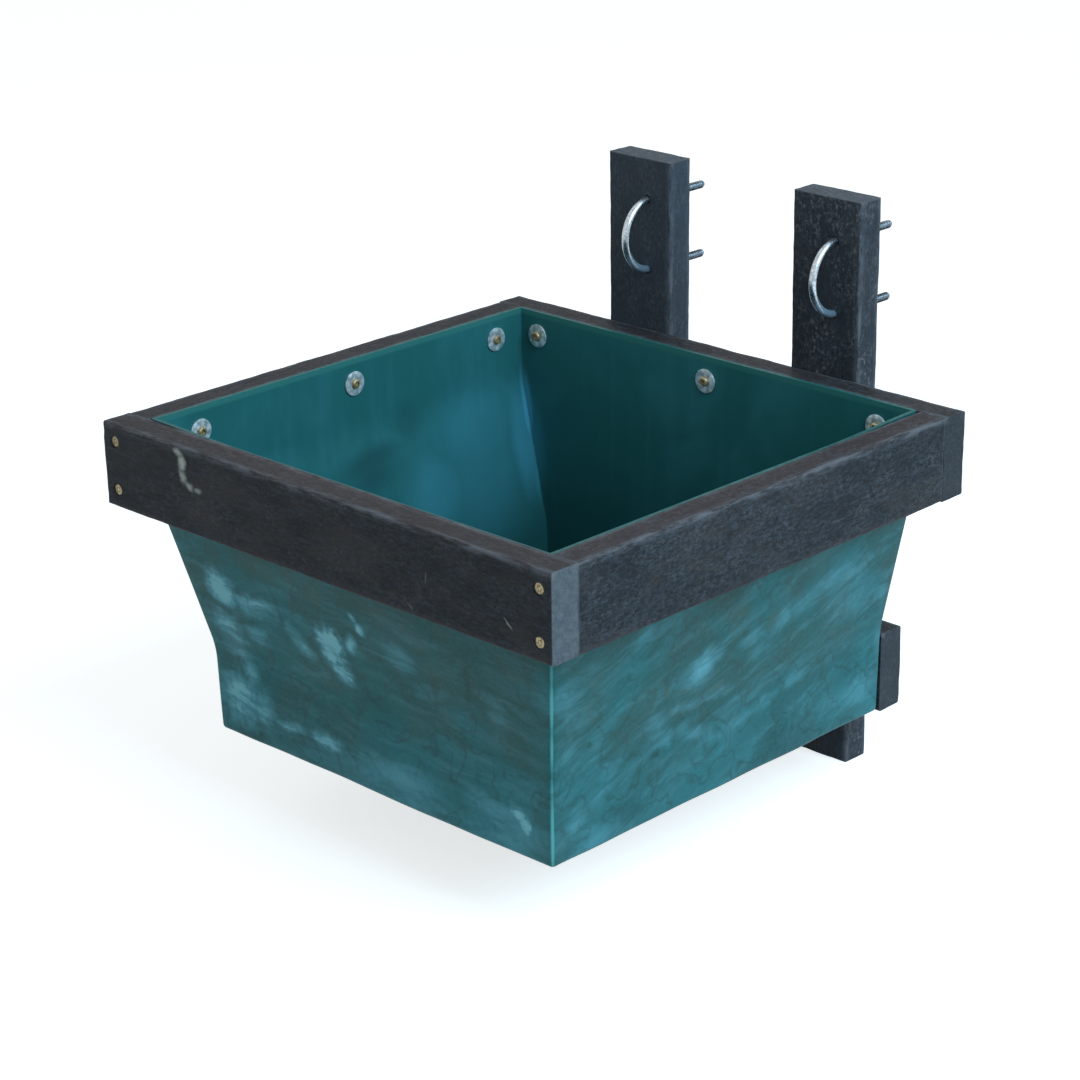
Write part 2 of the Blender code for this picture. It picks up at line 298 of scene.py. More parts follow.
def addStrokes(tree, drifted, strokes):  # strokes are (start, end, width, strength); where they cross, the strongest shows
    total = 0.0
    for start, end, width, strength in strokes:
        run = Vector(end) - Vector(start)
        middle = Vector(start) + run / 2
        laid = {"Vector": drifted["Place"], "Location": middle, "Rotation": run.to_track_quat("X", "Z").to_euler(),
                "Scale": (run.length / 2 + width, width * 1.6, width * 1.6)}
        place = addNode(tree, "ShaderNodeMapping", laid, vector_type="TEXTURE").outputs["Vector"]
        mask = useGroup(tree, strokeMark, Place=place, Worn=drifted["Worn"], Strength=strength)["Mask"]
        total = addMath(tree, "MAXIMUM", mask, total)
    return total


edgeWear = makeEdgeWear()
boardGrain = makeBoardGrain()
driftingPlace = makeDrift()
strokeMark = makeStroke()
print("shared effects made")


# Recycled plastic boards

boardLook = {
    "dark": (0.0070, 0.0080, 0.0098, 1), "brown": (0.0240, 0.0205, 0.0200, 1), "grey": (0.034, 0.040, 0.050, 1),
    "frost": (0.150, 0.170, 0.200, 1), "speck": (0.180, 0.160, 0.165, 1), "sawn": (0.120, 0.130, 0.145, 1),
    "haze": (0.052, 0.066, 0.086, 1),
    "topBrown": (0.040, 0.030, 0.031, 1), "paleEdgeHighlight": (0.195, 0.190, 0.208, 1), "brownEdge": (0.060, 0.042, 0.044, 1),
    "scuff": (0.43, 0.42, 0.37, 1),
    "edgeRadius": 0.0024, "edgeSegments": 4, "lengthStep": 0.007, "faceCuts": 10, "sideCuts": 3,
    "waviness": 0.0011, "wavinessScale": 0.045, "chips": 0.0012, "chipsScale": 0.009,
    "wearAndHighlightWidth": 0.0085, "bumpDistance": 0.0007, "bumpStrength": 0.8,
}

# Scuffs on the front board: start, end, width and strength, in metres from the board's middle
frontScuffs = (
    ((-0.181, -0.015, 0.036), (-0.169, -0.015, 0.032), 0.0042, 0.83),
    ((-0.170, -0.015, 0.033), (-0.171, -0.015, 0.018), 0.0050, 1.12),
    ((-0.171, -0.015, 0.020), (-0.168, -0.015, 0.006), 0.0046, 0.83),
    ((-0.168, -0.015, 0.008), (-0.156, -0.015, 0.003), 0.0036, 0.75),
    ((-0.158, -0.015, 0.004), (-0.144, -0.015, 0.003), 0.0026, 0.60),
    ((0.225, -0.015, -0.011), (0.237, -0.015, -0.022), 0.0011, 0.50),
    ((0.138, -0.015, 0.005), (0.137, -0.015, -0.008), 0.0011, 0.22),
    ((0.114, -0.015, -0.028), (0.122, -0.015, -0.035), 0.0012, 0.22),
)


def boardMaterial(name, centre, turn, halfSize, seed, haze=0.0, frost=0.5, specks=0.5, top=0.0, endCut=0.5, scuffs=()):
    material, tree, shader, coords = newMaterial(name, 0.6, 0.0, 0.10)
    place = addNode(tree, "ShaderNodeMapping", {"Vector": coords, "Location": centre, "Rotation": turn},
                    vector_type="TEXTURE").outputs["Vector"]
    grain = useGroup(tree, boardGrain, Place=place, Seed=(seed * 1.7, seed * 0.6, seed * 0.9))
    edges = useGroup(tree, edgeWear, Place=place, HalfSize=halfSize, Width=boardLook["wearAndHighlightWidth"])
    color = addMix(tree, addRange(tree, grain["Blotches"], 0.42, 0.68), boardLook["dark"], boardLook["brown"])
    hazed = addMath(tree, "MULTIPLY", addRange(tree, grain["Mottle"], 0.40, 0.68), addRange(tree, grain["Streaks"], 0.28, 0.62))
    color = addMix(tree, hazed, color, boardLook["grey"])
    color = addMix(tree, haze, color, boardLook["haze"])
    color = addMix(tree, addMath(tree, "MULTIPLY", edges["Top"], top), color, boardLook["topBrown"])
    color = addMix(tree, addMath(tree, "MULTIPLY", grain["Frost"], frost), color, boardLook["frost"])
    color = addMix(tree, addMath(tree, "MULTIPLY", grain["Specks"], specks), color, boardLook["speck"])
    sawn = addMix(tree, addRange(tree, grain["Mottle"], 0.35, 0.68, 0.0, 0.45), boardLook["sawn"], boardLook["grey"])
    color = addMix(tree, addMath(tree, "MULTIPLY", edges["End"], endCut), color, sawn)
    # worn long edges: real wear, painted pale as a highlight on the board's upper half, where the edges catch the
    # light, and brown on the lower half
    wornEdgeAndHighlight = addMix(tree, edges["Upper"], boardLook["brownEdge"], boardLook["paleEdgeHighlight"])
    color = addMix(tree, addMath(tree, "MULTIPLY", edges["Wear"], 0.6), color, wornEdgeAndHighlight)
    height = grain["Height"]
    if scuffs:
        scuffed = addStrokes(tree, useGroup(tree, driftingPlace, Place=place, Scale=60, Reach=0.005), scuffs)
        color = addMix(tree, scuffed, color, boardLook["scuff"])
    tree.links.new(color, shader.inputs["Base Color"])
    tree.links.new(addRange(tree, grain["Mottle"], 0.3, 0.7, 0.50, 0.72), shader.inputs["Roughness"])
    setBump(tree, shader, height, boardLook["bumpStrength"], boardLook["bumpDistance"])
    return material


def waveTexture(name, scale, depth):
    texture = bpy.data.textures.new(name, "CLOUDS")
    texture.noise_scale = scale
    texture.noise_depth = depth
    return texture


waveCloud = waveTexture("waveCloud", boardLook["wavinessScale"], 1)
chipCloud = waveTexture("chipCloud", boardLook["chipsScale"], 3)


def isRounded(edge, node, axis, size, centre):  # the long edges, less those that the side boards butt against
    inner = {"front_board": 1, "back_board": -1}.get(node, 0) * (edgeMiddle(edge).y - centre.y) > 0
    return abs(edgeRun(edge)[axis]) > size[axis] / 2 and not inner


def makeBoard(node, axis):  # axis is the board's long way: 0, 1 or 2
    centre, size = boxMiddle(node), boxSize(node)
    deselectAll()
    bpy.ops.mesh.primitive_cube_add(size=1, location=centre)
    board = nameActive(node + "_finished")
    size[axis] += 0.0006 if axis == 1 else 0  # the side boards bear on the front and back boards
    board.scale = size
    applyPlace(board)
    enterEdit(board, "EDGE")
    selectWhere(board, "edges", lambda edge: isRounded(edge, node, axis, size, centre))
    bpy.ops.mesh.bevel(offset=boardLook["edgeRadius"], segments=boardLook["edgeSegments"], affect="EDGES")
    bpy.ops.mesh.select_all(action="DESELECT")
    selectWhere(board, "edges", lambda edge: abs(edgeRun(edge)[axis]) > size[axis] / 2)
    bpy.ops.mesh.subdivide(number_cuts=round(size[axis] / boardLook["lengthStep"]))
    for other in range(3):
        if other == axis:
            continue
        wide = size[other] > 0.05
        bpy.ops.mesh.select_all(action="DESELECT")
        selectWhere(board, "edges", lambda edge: abs(edgeRun(edge)[other]) > size[other] / 2)
        bpy.ops.mesh.subdivide(number_cuts=boardLook["faceCuts"] if wide else boardLook["sideCuts"])
    leaveEdit()
    nearEdges = board.vertex_groups.new(name="nearEdges")
    butted = {"front_board": 1, "back_board": -1}.get(node, 0)
    for vert in board.data.vertices:
        depths = sorted((size[k] / 2 - abs((vert.co - centre)[k])) for k in range(3))
        atButt = butted and butted * (vert.co.y - centre.y) > size.y / 2 - 0.004
        nearEdges.add([vert.index], 0.0 if atButt else max(0.0, 1 - depths[1] / 0.004), "REPLACE")
    applyModifier(board, "DISPLACE", texture=waveCloud, texture_coords="GLOBAL", mid_level=0.5,
                  strength=boardLook["waviness"])
    applyModifier(board, "DISPLACE", texture=chipCloud, texture_coords="GLOBAL", mid_level=0.7,
                  strength=boardLook["chips"], vertex_group="nearEdges")
    board.vertex_groups.clear()
    return board


# Screws, washers, nuts and U-bolts: sizes in metres

screwLook = {
    "headSides": 36, "recessRadius": 0.0024, "recessDepth": 0.0016, "lobeOut": 1.18, "lobeIn": 0.80,
    "rimRound": 0.0003, "threadPitch": 0.0025, "threadDepth": 0.0007,
}
boltLook = {
    "rodSides": 24, "bowSteps": 40, "bowRadius": 0.0037, "threadLength": 0.058, "threadPitch": 0.00125, "threadDepth": 0.00066,
    "threadSides": 24,
}
washerLook = {"sides": 48, "edgeRound": 0.00025}


# Zinc finishes

def makeZincMottle():  # spangle, stains and fine handling marks of a plated surface
    group, given = newGroup("zincMottle", Place="Vector", Scale="Float")
    place = addNode(group, "ShaderNodeVectorMath", {0: given["Place"], "Scale": given["Scale"]}, operation="SCALE").outputs[0]
    spangle = addNode(group, "ShaderNodeTexVoronoi", {"Vector": place, "Scale": 1.6}, feature="SMOOTH_F1").outputs["Distance"]
    stain = addRange(group, addNoise(group, place, 0.45, 4, 0.6, 0.8), 0.38, 0.68)
    marks = addNoise(group, addVector(group, "MULTIPLY", place, (1.0, 6.0, 6.0)), 1.8, 3, 0.7)
    return closeGroup(group, Spangle=spangle, Stain=stain, Marks=marks)


zincMottle = makeZincMottle()

brightZincLook = {"clean": (0.68, 0.73, 0.77, 1), "dull": (0.34, 0.40, 0.46, 1), "stain": (0.22, 0.22, 0.20, 1)}
rodZincLook = {"clean": (0.58, 0.63, 0.66, 1), "dull": (0.30, 0.36, 0.42, 1), "stain": (0.20, 0.20, 0.19, 1)}
dulledZincLook = {"clean": (0.90, 0.97, 1.0, 1), "dull": (0.34, 0.42, 0.47, 1), "stain": (0.16, 0.19, 0.18, 1)}
yellowZincLook = {"clean": (0.56, 0.44, 0.23, 1), "dull": (0.17, 0.12, 0.045, 1), "stain": (0.36, 0.24, 0.18, 1)}


def zincMaterial(name, look, scale, roughness, metallic, stained, lowerShade=None):  # the optional last colour is painted shade on a bow's lower half, which faces away from the light
    material, tree, shader, coords = newMaterial(name, roughness, metallic, 0.5)
    mottle = useGroup(tree, zincMottle, Place=coords, Scale=scale)
    color = addMix(tree, addRange(tree, mottle["Spangle"], 0.15, 0.75), look["clean"], look["dull"])
    color = addMix(tree, addMath(tree, "MULTIPLY", mottle["Stain"], stained), color, look["stain"])
    if lowerShade:
        place = addNode(tree, "ShaderNodeSeparateXYZ", {0: coords}).outputs
        # painted shade: the lower half of the bow, below its middle, is mixed towards the shade colour
        low, bowed = addRange(tree, place["Z"], -0.032, -0.004, 0.9, 0.0), addRange(tree, place["Y"], -0.002, 0.006, 1.0, 0.0)
        shadedLow = addMath(tree, "MULTIPLY", low, bowed)
        color = addMix(tree, shadedLow, color, lowerShade)
        tree.links.new(addRange(tree, shadedLow, 0.0, 0.9, metallic, 0.35), shader.inputs["Metallic"])
    tree.links.new(color, shader.inputs["Base Color"])
    tree.links.new(addRange(tree, mottle["Marks"], 0.3, 0.7, roughness - 0.08, roughness + 0.14), shader.inputs["Roughness"])
    setBump(tree, shader, mottle["Marks"], 0.25, 0.0001)
    return material


brightZinc = zincMaterial("brightZinc", brightZincLook, 400, 0.24, 1.0, 0.15)
dulledZinc = zincMaterial("dulledZinc", dulledZincLook, 150, 0.38, 0.5, 0.4)
# the last colour is painted shade for the bows' lower halves
rodZinc = zincMaterial("rodZinc", rodZincLook, 400, 0.26, 1.0, 0.15, (0.17, 0.23, 0.30, 1))
yellowZinc = zincMaterial("yellowZinc", yellowZincLook, 300, 0.36, 0.45, 0.6)
# painted shade: the screws' drive recesses are painted near black
recessShade, recessShadeTree, recessShadeShader, recessShadeCoords = newMaterial("recessShade", 0.7, 0.3, 0.2)
recessShadeTree.links.new(addMix(recessShadeTree, addNoise(recessShadeTree, recessShadeCoords, 900, 3), (0.015, 0.011, 0.008, 1), (0.070, 0.050, 0.030, 1)),
                    recessShadeShader.inputs["Base Color"])
print("zinc finishes made")


# Threads, screws, washers, nuts and U-bolts, each modelled once along +Z

def makeThread(crest, pitch, low, high, steps):  # a helical ridge about Z
    ridge = pitch * 0.52
    deselectAll()
    bpy.ops.mesh.primitive_circle_add(vertices=3, radius=ridge, location=(crest - ridge, 0, low),
                                      rotation=(math.pi / 2, math.pi / 2, 0))
    thread = nameActive("thread")
    applyPlace(thread)
    applyModifier(thread, "SCREW", axis="Z", angle=2 * math.pi, screw_offset=pitch, steps=steps, render_steps=steps,
                  iterations=max(1, round((high - low) / pitch)))
    enterEdit(thread, "EDGE")
    selectWhere(thread, "edges", lambda edge: edge.is_boundary)
    bpy.ops.mesh.fill_holes(sides=0)
    leaveEdit()
    cleanNormals(thread)
    return thread


def joinPieces(main, *others):
    deselectAll()
    for other in others:
        other.select_set(True)
    main.select_set(True)
    bpy.context.view_layer.objects.active = main
    bpy.ops.object.join()
    return main


def addCylinder(name, radius, low, high, sides, material=None):
    deselectAll()
    bpy.ops.mesh.primitive_cylinder_add(vertices=sides, radius=radius, depth=high - low,
                                        location=(0, 0, (low + high) / 2))
    obj = nameActive(name)
    applyPlace(obj)
    if material:
        obj.data.materials.append(material)
    return obj


def isTop(face):
    return face.normal.z > 0.9


def isBottom(face):
    return face.normal.z < -0.9


def makeRecess(top):  # the cutter for a six-lobe drive
    depth = screwLook["recessDepth"]
    recess = addCylinder("recess", screwLook["recessRadius"], top - depth, top + 0.002, 24, recessShade)
    for turn, share in ((0, screwLook["lobeOut"]), (30, screwLook["lobeIn"])):
        enterEdit(recess, "VERT")
        selectWhere(recess, "verts", lambda vert: round(math.degrees(math.atan2(vert.co.x, vert.co.y))) % 60 == turn)
        bpy.ops.transform.resize(value=(share, share, 1), center_override=(0, 0, top))
        leaveEdit()
    return recess


def makeScrew(name, headRadius, headHeight, shankRadius, length, tip, countersunk):
    core = shankRadius * 0.72
    shank = addCylinder(name, core, tip - length, 0, 20, yellowZinc)
    enterEdit(shank)
    selectWhere(shank, "faces", isBottom)
    bpy.ops.mesh.extrude_region_move(TRANSFORM_OT_translate={"value": (0, 0, -tip)})
    bpy.ops.transform.resize(value=(0.06, 0.06, 1), center_override=(0, 0, -length))
    leaveEdit()
    low, high = (-headHeight, 0) if countersunk else (0, headHeight)
    head = addCylinder(name + "_head", headRadius, low, high, screwLook["headSides"], yellowZinc)
    if countersunk:
        enterEdit(head)
        selectWhere(head, "faces", isBottom)
        share = shankRadius / headRadius
        bpy.ops.transform.resize(value=(share, share, 1), center_override=(0, 0, low))
        leaveEdit()
    enterEdit(head, "EDGE")
    selectWhere(head, "edges", lambda edge: min(vert.co.z for vert in edge.verts) > high - 0.0001)
    if countersunk:
        bpy.ops.mesh.bevel(offset=screwLook["rimRound"], segments=2, affect="EDGES")
    else:
        bpy.ops.mesh.bevel(offset=headHeight * 0.62, segments=6, affect="EDGES")
    leaveEdit()
    cutWith(head, makeRecess(high))
    thread = makeThread(shankRadius, screwLook["threadPitch"], tip - length, low - 0.003, 14)
    thread.data.materials.append(yellowZinc)
    joinPieces(shank, head, thread)
    smoothByAngle(shank, 40)
    return shank


def makeWasher(name, hole, radius, thickness):
    washer = addCylinder(name, radius, 0, thickness, washerLook["sides"])
    for side in (isTop, isBottom):
        enterEdit(washer)
        selectWhere(washer, "faces", side)
        bpy.ops.mesh.inset(thickness=radius - hole)
        leaveEdit()
    enterEdit(washer)
    selectWhere(washer, "faces", lambda face: abs(face.normal.z) > 0.9 and face.calc_center_median().length < radius / 4)
    bpy.ops.mesh.bridge_edge_loops()
    leaveEdit()
    enterEdit(washer, "EDGE")
    selectWhere(washer, "edges", lambda edge: abs(edgeRun(edge).z) < 1e-6 and abs(
        edge.verts[0].co.xy.length - edge.verts[1].co.xy.length) < 1e-5)
    bpy.ops.mesh.bevel(offset=washerLook["edgeRound"], segments=2, affect="EDGES")
    leaveEdit()
    cleanNormals(washer)
    smoothByAngle(washer, 35)
    return washer


def makeNut(name, acrossFlats, height, bore):
    corner = acrossFlats / 2 / math.cos(math.pi / 6)
    nut = addCylinder(name, corner, 0, height, 6)
    form = addCylinder("nutForm", corner * 1.0, 0, height, 48)
    enterEdit(form, "EDGE")
    selectWhere(form, "edges", lambda edge: abs(edgeRun(edge).z) < 1e-6)
    bpy.ops.mesh.bevel(offset=0.0008, segments=1, affect="EDGES")
    leaveEdit()
    cutWith(nut, form, "INTERSECT")
    hole = addCylinder("nutBore", bore, -0.001, height + 0.001, 32)
    cutWith(nut, hole)
    enterEdit(nut, "EDGE")
    selectWhere(nut, "edges", lambda edge: abs(edgeRun(edge).z) < 1e-6 and max(
        vert.co.xy.length for vert in edge.verts) < bore * 1.05)
    bpy.ops.mesh.bevel(offset=0.0005, segments=1, affect="EDGES")
    leaveEdit()
    smoothByAngle(nut, 30)
    return nut


def makeUBolt(name, rod, spacing, seat, end):  # its bow stands along -Y and its legs along +Y, about x = 0
    deselectAll()
    bpy.ops.mesh.primitive_circle_add(vertices=boltLook["rodSides"], radius=boltLook["bowRadius"], location=(0, seat, spacing / 2),
                                      rotation=(math.pi / 2, 0, 0))
    bolt = nameActive(name)
    applyPlace(bolt)
    enterEdit(bolt, "EDGE")
    bpy.ops.mesh.select_all(action="SELECT")
    bpy.ops.mesh.spin(steps=boltLook["bowSteps"], angle=-math.pi, center=(0, seat, 0), axis=(1, 0, 0))
    bpy.ops.mesh.select_all(action="DESELECT")
    selectWhere(bolt, "edges", lambda edge: edge.is_boundary)
    plain = end - boltLook["threadLength"]
    bpy.ops.mesh.extrude_region_move(TRANSFORM_OT_translate={"value": (0, plain - seat, 0)})
    bpy.ops.mesh.fill_holes(sides=0)
    leaveEdit()
    cleanNormals(bolt)
    ends = []
    for side in (1, -1):
        core = addCylinder("core", rod - boltLook["threadDepth"], plain - 0.001, end, boltLook["rodSides"])
        enterEdit(core, "EDGE")
        selectWhere(core, "edges", lambda edge: min(vert.co.z for vert in edge.verts) > end - 0.0001)
        bpy.ops.mesh.bevel(offset=0.0007, segments=2, affect="EDGES")
        leaveEdit()
        thread = makeThread(rod, boltLook["threadPitch"], plain, end - 0.0012, boltLook["threadSides"])
        joinPieces(core, thread)
        core.data.transform(Matrix.Translation((0, 0, side * spacing / 2)) @ Matrix.Rotation(-math.pi / 2, 4, "X"))
        ends.append(core)
    joinPieces(bolt, *ends)
    smoothByAngle(bolt, 40)
    return bolt


def makeCountersink(headRadius, shankRadius, length):
    cutter = addCylinder("countersink", headRadius, -0.0004, 0.004, 32)
    for depth, radius in ((0.0034, shankRadius), (length, shankRadius)):
        enterEdit(cutter)
        selectWhere(cutter, "faces", isBottom)
        bpy.ops.mesh.extrude_region_move(TRANSFORM_OT_translate={"value": (0, 0, 0)})
        low = min(vert.co.z for vert in bmesh.from_edit_mesh(cutter.data).verts)
        bpy.ops.transform.translate(value=(0, 0, -depth - low))
        wide = max(vert.co.xy.length for vert in bmesh.from_edit_mesh(cutter.data).verts if vert.select)
        bpy.ops.transform.resize(value=(radius / wide, radius / wide, 1), center_override=(0, 0, -depth))
        leaveEdit()
    return cutter


fastenerSizes = {
    "boardHeadRadius": 0.005, "boardHeadHeight": 0.003, "boardShankRadius": 0.0025, "boardTip": 0.004,
    "cornerLength": 0.060, "postLength": 0.050, "sunk": 0.0012,
    "tubHeadRadius": 0.0047, "tubHeadHeight": 0.0028, "tubShankRadius": 0.0023, "tubTip": 0.003, "tubLength": 0.024,
    "wideWasherHole": 0.0027, "wideWasherRadius": 0.012, "wideWasherThickness": 0.0015,
    "boltWasherHole": 0.0044, "boltWasherRadius": 0.008, "boltWasherThickness": 0.0016,
    "nutAcrossFlats": 0.013, "nutHeight": 0.0065, "nutBore": 0.0041,
    "rodRadius": 0.004, "legSpacing": 0.070, "bowSeat": 0.004, "legEnd": 0.082,
}
sizes = fastenerSizes

cornerScrew = makeScrew("cornerScrew", sizes["boardHeadRadius"], sizes["boardHeadHeight"], sizes["boardShankRadius"],
                        sizes["cornerLength"], sizes["boardTip"], True)
postScrew = makeScrew("postScrew", sizes["boardHeadRadius"], sizes["boardHeadHeight"], sizes["boardShankRadius"],
                      sizes["postLength"], sizes["boardTip"], True)
panScrew = makeScrew("panScrew", sizes["tubHeadRadius"], sizes["tubHeadHeight"], sizes["tubShankRadius"],
                     sizes["tubLength"], sizes["tubTip"], False)
wideWasher = makeWasher("wideWasher", sizes["wideWasherHole"], sizes["wideWasherRadius"], sizes["wideWasherThickness"])
boltWasher = makeWasher("boltWasher", sizes["boltWasherHole"], sizes["boltWasherRadius"], sizes["boltWasherThickness"])
hexNut = makeNut("hexNut", sizes["nutAcrossFlats"], sizes["nutHeight"], sizes["nutBore"])
uBolt = makeUBolt("uBolt", sizes["rodRadius"], sizes["legSpacing"], sizes["bowSeat"], sizes["legEnd"])
countersink = makeCountersink(0.0060, 0.0028, 0.034)
print("fasteners modelled")

cuts = {}  # cutters waiting for each board


def addCut(node, cutter):
    cuts.setdefault(node, []).append(cutter)


def placeScrew(master, node, direction, headAtFace):
    low, high = (Vector(corner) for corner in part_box(node))
    middle = (low + high) / 2
    reach = abs((high - low).dot(direction)) / 2
    point = middle + direction * reach if headAtFace else middle + direction * (reach - sizes["tubHeadHeight"])
    turn = math.radians(sum(ord(letter) for letter in node) * 17 % 360)
    sunk = direction * (sizes["sunk"] - 0.0004 if headAtFace else 0)
    screw = placedCopy(master, node + "_finished", point - sunk, direction, turn)
    finishPiece(screw, "trough", node, "yellow_zinc")
    return point


for end, direction in (("front", -back), ("back", back)):
    for hand in ("left", "right"):
        for place in ("upper", "lower"):
            point = placeScrew(cornerScrew, f"{end}_{hand}_{place}_corner_screw", direction, True)
            addCut(end + "_board", placedCopy(countersink, "cut", point + direction * 0.0004, direction))
for hand in ("left", "right"):
    for level in ("rim", "foot"):
        for place in ("upper", "lower"):
            point = placeScrew(postScrew, f"{hand}_post_{level}_{place}_screw", back, True)
            addCut(hand + "_hanger_post", placedCopy(countersink, "cut", point + back * 0.0004, back))
for wall, direction in (("front", back), ("back", -back), ("left", right), ("right", -right)):
    for number in (1, 2, 3):
        screwNode = f"{wall}_wall_screw_{number}"
        washerNode = screwNode + "_washer"
        placeScrew(panScrew, screwNode, direction, False)
        base = boxMiddle(washerNode) - direction * sizes["wideWasherThickness"] / 2
        washer = placedCopy(wideWasher, washerNode + "_finished", base, direction)
        finishPiece(washer, "trough", washerNode, "bright_zinc", dulledZinc)
for hand in ("left", "right"):
    boltNode = hand + "_u_bolt"
    place = Vector((boxMiddle(boltNode).x, 0, 0))
    bolt = placedCopy(uBolt, boltNode + "_finished", place)
    finishPiece(bolt, hand + "_bow", boltNode, "bright_zinc", rodZinc)
    for level in ("upper", "lower"):
        washerNode = f"{hand}_{level}_u_bolt_washer"
        base = boxMiddle(washerNode) - back * sizes["boltWasherThickness"] / 2
        washer = placedCopy(boltWasher, washerNode + "_finished", base, back)
        finishPiece(washer, "trough", washerNode, "bright_zinc", brightZinc)
        nutNode = f"{hand}_{level}_nut"
        base = boxMiddle(nutNode) - back * sizes["nutHeight"] / 2
        nut = placedCopy(hexNut, nutNode + "_finished", base, back)
        finishPiece(nut, nutNode, nutNode, "bright_zinc", brightZinc)
        hole = addCylinder("legHole", sizes["rodRadius"] + 0.0004, -0.032, 0.032, 32)
        leg = Vector((place.x, 0.015, sizes["legSpacing"] / 2 * (1 if level == "upper" else -1)))
        hole.data.transform(Matrix.Translation(leg) @ back.to_track_quat("Z", "Y").to_matrix().to_4x4())
        addCut(hand + "_hanger_post", hole)
for master in (cornerScrew, postScrew, panScrew, wideWasher, boltWasher, hexNut, uBolt, countersink):
    bpy.data.objects.remove(master, do_unlink=True)
print("fasteners placed")


def cutBoard(board, node):
    if node in cuts:
        cutter = joinPieces(*cuts.pop(node))
        cutWith(board, cutter)
    smoothByAngle(board, 35)


boards = (  # node, long axis, turn of the grain, seed, haze, frosting, pale specks, brown top, paleness of the sawn ends, scuffs
    ("front_board", 0, (0, 0, 0), 1, 0.0, 0.16, 0.13, 0.8, 0.95, frontScuffs),
    ("back_board", 0, (0, 0, 0), 2, 0.0, 0.25, 0.15, 0.3, 0.15, ()),
    ("left_side_board", 1, (0, 0, math.pi / 2), 3, 0.0, 0.16, 0.12, 0.3, 0.5, ()),
    ("right_side_board", 1, (0, 0, math.pi / 2), 4, 0.05, 0.31, 0.26, 0.9, 0.5, ()),
    ("left_hanger_post", 2, (0, math.pi / 2, 0), 5, 0.60, 0.34, 0.18, 0.0, 0.5, ()),
    ("right_hanger_post", 2, (0, math.pi / 2, 0), 6, 0.30, 0.38, 0.85, 0.0, 0.5, ()),
    ("lower_cross_board", 0, (0, 0, 0), 7, 0.0, 0.25, 0.20, 0.2, 0.25, ()),
)
for node, axis, turn, seed, haze, frost, specks, top, endCut, scuffs in boards:
    half = boxSize(node) / 2
    halfSize = (half[axis], half.x if axis == 1 else half.y, half.x if axis == 2 else half.z)
    look = boardMaterial(node + "_plastic", boxMiddle(node), turn, halfSize, seed, haze, frost, specks, top, endCut, scuffs)
    board = makeBoard(node, axis)
    cutBoard(board, node)
    finishPiece(board, "trough", node, "recycled_plastic", look)
    print("board made:", node)


# Tub: its profile follows the same lengths as the CAD solid

tubShape = {
    "bandDepth": 0.074, "slopeDepth": 0.148, "slopeInset": 0.0325, "footTaper": 0.002, "kneeBlend": 0.012,
    "cornerRadius": 0.0043, "cornerSegments": 5, "wall": 0.004, "kneeSteps": 8, "slopeSteps": 9, "footSteps": 7,
    "cellsAcross": 44, "swell": 0.0022, "swellScale": 0.11,
    "rimDip": 0.0026, "floorSag": 0.001,
}


def kneeReach(distance):
    blend = tubShape["kneeBlend"]
    if distance <= -blend:
        return 0
    if distance >= blend:
        return distance
    return (distance + blend) ** 2 / (4 * blend)


def wallInset(depth, fullDepth):
    slopeEnd = tubShape["bandDepth"] + tubShape["slopeDepth"]
    ramp = (kneeReach(depth - tubShape["bandDepth"]) - kneeReach(depth - slopeEnd)) / tubShape["slopeDepth"]
    foot = max(0, depth - slopeEnd) / (fullDepth - slopeEnd)
    return tubShape["slopeInset"] * ramp + tubShape["footTaper"] * foot


def tubDepths(fullDepth):
    blend = tubShape["kneeBlend"]
    firstKnee = tubShape["bandDepth"]
    secondKnee = firstKnee + tubShape["slopeDepth"]
    depths = [firstKnee * share for share in (0.1, 0.3, 0.55)]
    for knee in (firstKnee, secondKnee):
        depths += [knee - blend + 2 * blend * step / tubShape["kneeSteps"] for step in range(tubShape["kneeSteps"] + 1)]
    span = secondKnee - firstKnee - 2 * blend
    depths += [firstKnee + blend + span * step / tubShape["slopeSteps"] for step in range(1, tubShape["slopeSteps"])]
    span = fullDepth - secondKnee - blend
    depths += [secondKnee + blend + span * step / tubShape["footSteps"] for step in range(1, tubShape["footSteps"])]
    return sorted(depths)


def smoothStep(value, low, high):
    share = min(1, max(0, (value - low) / (high - low)))
    return share * share * (3 - 2 * share)


